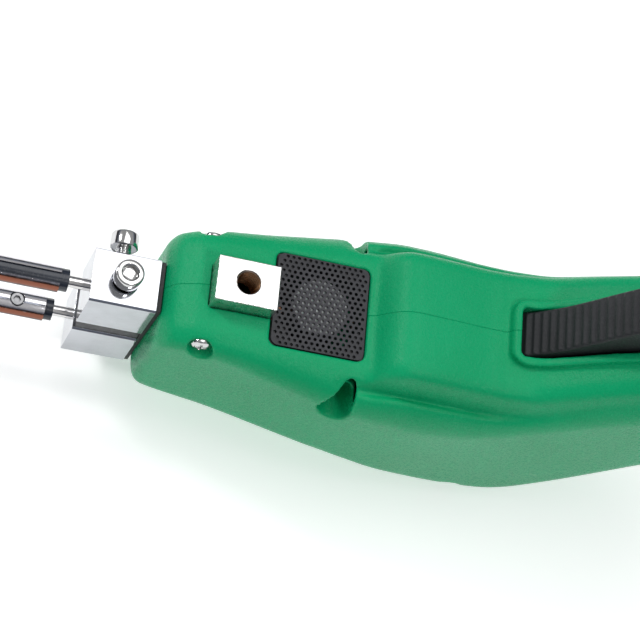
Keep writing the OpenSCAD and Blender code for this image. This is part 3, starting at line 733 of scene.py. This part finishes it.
def clamp_screws():
    parts = []
    for z, d in ((19.65, 1), (-19.65, -1)):
        for me in cap_screw_meshes(7.5):
            parts.append(moved(me, frame_at(P(8.2, 0, z), (0, 0, d))))
    o = joined("clamp_screws_top_and_bottom", parts, MAT["screw"])
    put(o, BODY, "screw_steel", "clamp_screws_face")
    parts = []
    for z in (12.65, -12.65):
        for me in cap_screw_meshes(7.8):
            parts.append(moved(me, frame_at(P(7.6, 10.25, z), (0, 1, 0), (0, 0, 1))))
    o = joined("clamp_screws_far_side", parts, MAT["screw"])
    put(o, BODY, "screw_steel", "clamp_screws_side")


def guide_block():
    """Threaded block, its helical thread cut as real geometry."""
    lo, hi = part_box("guide_block")
    mid, long, wide = (lo.x + hi.x) / 2 * 1000, (hi.x - lo.x) * 1000, (hi.y - lo.y) * 1000
    o = prism("guide_nut", round_rect(mid, 0, long, wide, 0.25, 3), lo.z * 1000, hi.z * 1000, drawn_mm)
    bevel(o, 0.22 * MM, 2, 60)
    apply_mods(o)
    tap = link("tap", moved(thread("tap", 3.12, 2.66, 1.0, -11, 2, 72), Matrix.Scale(MM, 4)), None)
    cut(o, tap)
    sink = lathe("sink", [(0, -0.5), (2.7, -0.5), (3.2, 0.0), (3.3, 0.1), (0, 0.1)], 72)
    cut(o, link("sink", moved(sink, Matrix.Scale(MM, 4)), None))
    o.data.materials.clear()
    o.data.materials.append(MAT["guide"])
    o.data.shade_smooth()
    add_mod(o, "WEIGHTED_NORMAL", keep_sharp=True)
    put(o, BODY, "guide_nickel", "guide_block")


def vent_screen():
    """Perforated sheet with staggered round holes."""
    lo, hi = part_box("vent_screen")
    cx, w, d = (lo.x + hi.x) / 2, hi.x - lo.x, hi.y - lo.y
    outline = round_rect(cx * 1000, 0, w * 1000, d * 1000, 1.8, 8)
    o = prism("perforated_screen", outline, lo.z * 1000, hi.z * 1000, drawn_mm)
    pitch, rowstep, r = 1.45, 1.255, 0.41
    verts, faces = [], []
    n = 12
    rows = int(d * 1000 / 2 / rowstep)
    cols = int(w * 1000 / 2 / pitch) + 1
    for j in range(-rows, rows + 1):
        for i in range(-cols, cols + 1):
            x = i * pitch + (0.5 * pitch if j % 2 else 0)
            y = j * rowstep
            if abs(x) > w * 500 - 0.5 or abs(y) > d * 500 - 0.5:
                continue
            if abs(x) > w * 500 - 1.6 and abs(y) > d * 500 - 1.6:
                continue
            base = len(verts)
            for zz in (lo.z - 0.001, hi.z + 0.001):
                for k in range(n):
                    a = 2 * math.pi * k / n
                    verts.append((cx + (x + r * math.cos(a)) * MM, (y + r * math.sin(a)) * MM, zz))
            for k in range(n):
                m = (k + 1) % n
                faces.append((base + k, base + m, base + n + m, base + n + k))
            faces.append(tuple(base + k for k in range(n - 1, -1, -1)))
            faces.append(tuple(base + n + k for k in range(n)))
    punch = link("punch", mesh_of("punch", verts, faces), None, False)
    cut(o, punch)
    o.data.materials.clear()
    o.data.materials.append(MAT["screen"])
    bevel(o, 0.05 * MM, 1, 50)
    put(o, BODY, "screen_metal", "vent_screen")


def moulded_copy(name, node, voxel, rounds, material, body, slot_name):
    """A CAD node's own mesh with its edges rounded by a fine voxel pass."""
    o = link(name, NODES[node].data.copy(), None)
    add_mod(o, "WELD", merge_threshold=1e-6)
    add_mod(o, "REMESH", mode="VOXEL", voxel_size=voxel, adaptivity=0.0)
    add_mod(o, "SMOOTH", factor=0.5, iterations=rounds)
    apply_mods(o)
    o.data.materials.clear()
    o.data.materials.append(material)
    o.data.shade_smooth()
    return put(o, body, slot_name, node)


def fan_hub():
    """Plate on the fan's hub that shows through the screen, 0.4 mm below it."""
    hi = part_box("fan_rotor")[1]
    rise = max(0.0, (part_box("vent_screen")[0].z - hi.z) * 1000 - 0.9)
    profile = [(0, -0.2), (6.9, -0.2), (7.1, -0.05), (7.1, rise + 0.3), (6.9, rise + 0.45),
               (6.2, rise + 0.5), (6.1, rise + 0.42), (1.6, rise + 0.42), (1.5, rise + 0.5), (0, rise + 0.5)]
    me = lathe("hub_plate", profile, 64)
    me.transform(Matrix.Translation((P(55, 0, 0).x, 0, hi.z)) @ Matrix.Scale(MM, 4))
    o = link("hub_plate", me, MAT["hub"])
    put(o, "rotor", "black_plastic")


def case_screws():
    """Through screws with sunk cross-recess heads at both ends."""
    profile = [(0, 0), (2.55, 0), (2.6, 0.15), (2.45, 0.75), (1.9, 1.1), (1.0, 1.22), (0, 1.25)]
    head = link("head", lathe("head", profile, 32), None, False)
    for w, d in ((3.0, 0.62), (0.62, 3.0)):
        cut(head, prism("cross", round_rect(0, 0, w, d, 0.12, 2), 0.45, 3, as_drawn))
    parts = []
    for c, d, seat in recess_centres():
        for sgn in (-1, 1):
            foot = c + Vector((0, sgn * seat * MM, 0))
            parts.append(moved(head.data.copy(), frame_at(foot, (0, sgn, 0))))
        e = seat + 0.1
        bar = lathe("bar", [(0, -e), (1.4, -e), (1.4, e), (0, e)], 24)
        parts.append(moved(bar, frame_at(c, (0, 1, 0))))
    bpy.data.objects.remove(head)
    o = joined("case_screws_sunk", parts, MAT["screw"])
    soften(o, 0.00008, 2)
    put(o, BODY, "screw_steel", "case_screws")


clamp_screws()
case_screws()
guide_block()
vent_screen()
moulded_copy("trigger_paddle_ribbed", "trigger", 0.28 * MM, 3, MAT["trigger"],
             "trigger_paddle", "trigger_plastic")
fan_hub()
# CAD nodes that stay: material and bevel in mm
KEPT = {
    "nose_seal": ("seal", 0.15), "block_upper": ("nickel", 0.35), "block_lower": ("nickel", 0.35),
    "block_insulator": ("insulator", 0.2), "arm_rod_upper": ("steel", 0.3),
    "arm_rod_lower": ("steel", 0.3), "arm_sleeve_upper": ("sleeve", 0.25),
    "arm_sleeve_lower": ("sleeve", 0.25), "arm_tube_upper": ("tube", 0.12),
    "arm_tube_lower": ("tube", 0.12), "arm_set_screws": ("darksteel", 0.12), "blade": ("blade", 0.15),
    "fan_frame": ("black", 0.25), "fan_rotor": ("black", 0.12), "strap_upper": ("copper", 0.2),
    "strap_lower": ("copper", 0.2), "transformer_core": ("core", 0.3),
    "transformer_coil": ("coil", 0.8), "trigger_pin": ("steel", 0.2), "return_spring": ("steel", 0.1),
    "switch_body": ("black", 0.3), "switch_plunger": ("red", 0.2), "switch_tabs": ("brass", 0.1),
    "circuit_board": ("board", 0.08), "mains_terminal": ("ivory", 0.3), "cord_inlet": ("seal", 0.4),
}
for node, (material, width) in KEPT.items():
    finish_cad(node, MAT[material], width)


# ---------------------------------------------------------------- camera, light, floor
cam_data = bpy.data.cameras.new("photo_camera")
cam = bpy.data.objects.new("photo_camera", cam_data)
bpy.context.scene.collection.objects.link(cam)
cam_data.lens, cam_data.sensor_width = 101.25, 36.0
cam_data.clip_start, cam_data.clip_end = 0.01, 50
right = Vector((0.9455, 0.0837, 0.3146)).normalized()
back = Vector((-0.2635, -0.3707, 0.8906)).normalized()
up = back.cross(right).normalized()
right = up.cross(back).normalized()
cam_turn = Matrix((right, up, back)).transposed().to_4x4()
cam.matrix_world = Matrix.Translation(P(-59.72, -165.03, 414.25)) @ cam_turn
bpy.context.scene.camera = cam

floor_gap = 0.2 * MM
bpy.ops.mesh.primitive_plane_add(size=6, location=(0.05, 0, CAD_BOX[0].z - floor_gap))
floor = bpy.context.object
floor.name = "floor"
fm, _, fb = new_mat("floor_paper")
fb.inputs["Base Color"].default_value = (0.95, 0.95, 0.95, 1)
fb.inputs["Roughness"].default_value = 0.9
fb.inputs["Emission Color"].default_value = (1, 1, 1, 1)
fb.inputs["Emission Strength"].default_value = 0.36
floor.data.materials.append(fm)

world = bpy.data.worlds.new("studio")
bpy.context.scene.world = world
world.use_nodes = True
wn = world.node_tree
bg = wn.nodes["Background"]
wtc = wn.nodes.new("ShaderNodeTexCoord")
wsep = wn.nodes.new("ShaderNodeSeparateXYZ")
wramp = wn.nodes.new("ShaderNodeValToRGB")
wn.links.new(wtc.outputs["Generated"], wsep.inputs[0])
wn.links.new(wsep.outputs["Z"], wramp.inputs[0])
el = wramp.color_ramp.elements
el[0].position, el[0].color = 0.0, (0.16, 0.165, 0.18, 1)
el[1].position, el[1].color = 0.52, (1.0, 1.0, 1.0, 1)
for p, c in ((0.20, (0.14, 0.145, 0.16)), (0.30, (0.20, 0.22, 0.27)), (0.42, (0.66, 0.72, 0.84))):
    e = el.new(p)
    e.color = (*c, 1)
wn.links.new(wramp.outputs[0], bg.inputs[0])
bg.inputs[1].default_value = 0.42


def area(name, direction, distance, size, power, color=(1, 1, 1)):
    d = bpy.data.lights.new(name, "AREA")
    d.energy, d.size, d.color = power, size, color
    o = bpy.data.objects.new(name, d)
    bpy.context.scene.collection.objects.link(o)
    aim = P(70, 0, 10)
    v = Vector(direction).normalized()
    o.location = aim + v * distance
    o.rotation_mode = "QUATERNION"
    o.rotation_quaternion = (-v).to_track_quat("-Z", "Y")
    return o


area("key_left", (-0.71, 0.37, 0.59), 1.0, 0.16, 3.4)
area("key_near", (0.24, -0.46, 0.85), 1.1, 0.14, 2.6)
area("top", (0.1, 0.25, 1.0), 1.3, 0.9, 6.0)
bpy.context.scene.view_settings.view_transform = "Standard"
bpy.context.scene.view_settings.exposure = 0.0
